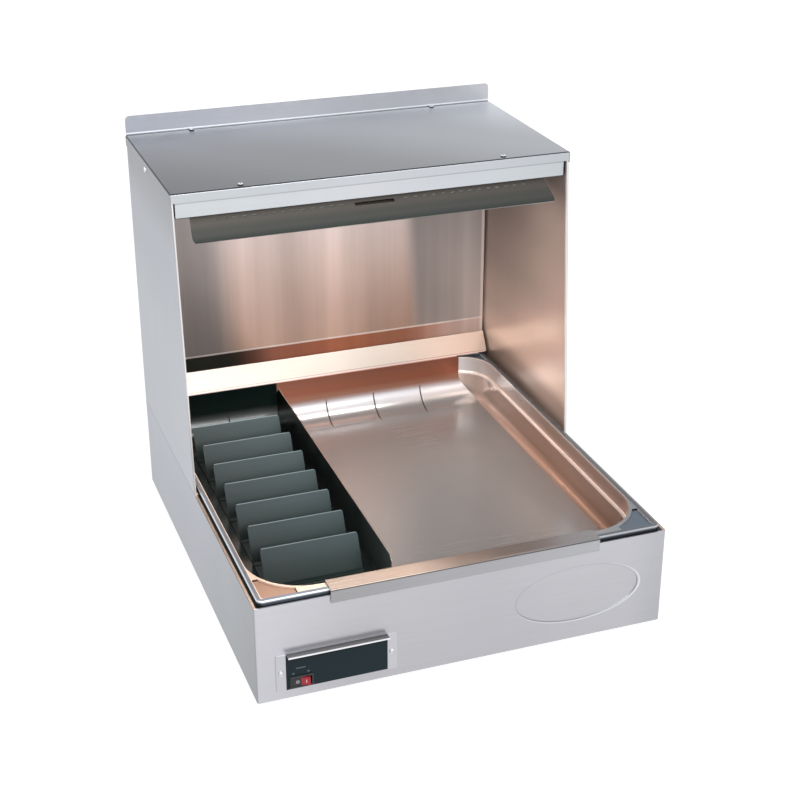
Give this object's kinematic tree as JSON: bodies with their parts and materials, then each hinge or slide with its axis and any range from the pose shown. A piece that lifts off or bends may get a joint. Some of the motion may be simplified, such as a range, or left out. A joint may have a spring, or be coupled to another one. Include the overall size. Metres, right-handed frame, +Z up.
{
  "type": "countertop chip warmer",
  "caption": "Countertop chip warmer: heated steel base with a lift-out pan, curved liner, divider and portion rack under an open-fronted hood with a radiant heater.",
  "frame": {"origin": "middle of the footprint on the counter, under the rubber feet", "axes": "+Z up, +Y from the front control side to the back, +X to the right seen from the front"},
  "size_m": [0.5532, 0.635, 0.5756],
  "materials": {
    "shell_steel": "fine horizontal brush grain, satin",
    "hood_steel": "fine vertical brush grain, satin",
    "lid_steel": "brushed along its length, satin",
    "inner_steel": "bright rolled, vertical grain",
    "pan_steel": "bright drawn steel, satin inside",
    "liner_steel": "bright rolled, faint cross grain",
    "rack_steel": "dark blued steel, satin",
    "galvanised": "dull zinc coat",
    "reflector_metal": "polished",
    "shade_steel": "bright rolled, long grain",
    "screw_steel": "bright zinc",
    "element_sheath": "heat-tinted oxide",
    "ceramic": "unglazed ceramic",
    "brass_parts": "bright brass",
    "black_label": "printed film, semi-matte",
    "black_plastic": "fine moulded texture",
    "rocker_plastic": "moulded, black half and red half",
    "foot_rubber": "soft matte rubber",
    "heater_rubber": "silicone rubber sheet",
    "insulation": "glass-fibre felt",
    "lead_sleeve": "braided sleeve"
  },
  "bodies": {
    "warmer_body": {"base_housing": "shell_steel", "base_back_panel": "shell_steel", "base_bottom_plate": "galvanised", "rubber_feet": "foot_rubber", "foot_screws": "screw_steel", "foot_nuts": "screw_steel", "bottom_plate_screws": "screw_steel", "base_back_screws": "screw_steel", "well_liner": "galvanised", "heater_blanket": "heater_rubber", "blanket_backing_plate": "galvanised", "insulation_pad": "insulation", "insulation_cover": "galvanised", "stud_nuts": "screw_steel", "thermostat": "brass_parts", "hood_side_left": "hood_steel", "hood_side_right": "hood_steel", "hood_outer_back": "hood_steel", "hood_inner_back": "inner_steel", "hood_lid": "lid_steel", "hood_fascia": "shell_steel", "ceiling_panel": "inner_steel", "lid_screws": "screw_steel", "hood_back_screws": "screw_steel", "heater_housing": "galvanised", "heater_end_caps": "galvanised", "heater_reflector": "reflector_metal", "heater_shade": "shade_steel", "heating_element": "element_sheath", "element_bushes": "ceramic", "element_hangers": "galvanised", "element_terminals": "brass_parts", "heater_screws": "screw_steel", "lead_grommets": "ceramic", "heater_leads": "lead_sleeve", "control_plate": "shell_steel", "control_label": "black_label", "control_plate_screws": "screw_steel", "switch_body": "black_plastic", "switch_terminals": "brass_parts", "cord_gland": "black_plastic", "gland_nut": "black_plastic", "terminal_block": "ceramic", "terminal_screws": "screw_steel", "ground_stud": "brass_parts", "base_wiring": "lead_sleeve"},
    "pan": {"food_pan": "pan_steel"},
    "liner": {"serving_liner": "liner_steel"},
    "partition": {"divider": "liner_steel"},
    "portion_rack": {"rack_base": "rack_steel", "rack_plate_1": "rack_steel", "rack_plate_2": "rack_steel", "rack_plate_3": "rack_steel", "rack_plate_4": "rack_steel", "rack_plate_5": "rack_steel", "rack_plate_6": "rack_steel", "rack_plate_7": "rack_steel"},
    "switch_rocker": {"rocker": "rocker_plastic"}
  },
  "joints": [
    {"name": "pan_lift", "type": "slide", "parent": "warmer_body", "child": "pan", "axis": [0, 0, 1], "range_m": [0, 0.075]},
    {"name": "liner_lift", "type": "slide", "parent": "pan", "child": "liner", "axis": [0, 0, 1], "range_m": [0, 0.075]},
    {"name": "partition_lift", "type": "slide", "parent": "liner", "child": "partition", "axis": [0, 0, 1], "range_m": [0, 0.075]},
    {"name": "rack_lift", "type": "slide", "parent": "liner", "child": "portion_rack", "axis": [0, 0, 1], "range_m": [0, 0.075]},
    {"name": "rocker_tilt", "type": "hinge", "parent": "warmer_body", "child": "switch_rocker", "pos_m": [-0.2173, -0.3025, 0.0284], "axis": [0, 0, 1], "range_deg": [0, 20]}
  ]
}
